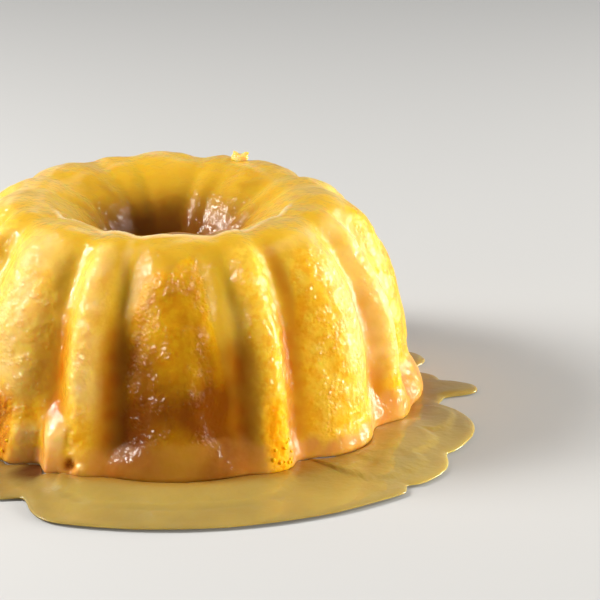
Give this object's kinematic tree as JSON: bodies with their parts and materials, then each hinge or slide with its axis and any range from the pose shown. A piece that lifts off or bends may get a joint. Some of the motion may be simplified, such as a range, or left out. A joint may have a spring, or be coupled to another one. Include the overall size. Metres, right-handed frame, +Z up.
{
  "type": "glazed ring cake",
  "caption": "Whole fluted ring cake with a funnel-shaped centre hole, glossy butter glaze run over its lobes and ridges, standing in a puddle of glaze.",
  "frame": {"origin": "on the cake's axis, on the plane that its underside rests on", "axes": "+Z up along the cake's axis, a wide lobe facing -Y, +X to the right of that lobe as seen from in front"},
  "size_m": [0.2948, 0.33, 0.0985],
  "materials": {
    "glazed_cake": "yellow butter crumb under a thin wet glaze, browned at the foot",
    "glaze": "glossy, slightly milky butter glaze"
  },
  "bodies": {
    "root": {"cake": "glazed_cake", "glaze_pool": "glaze"}
  },
  "joints": []
}
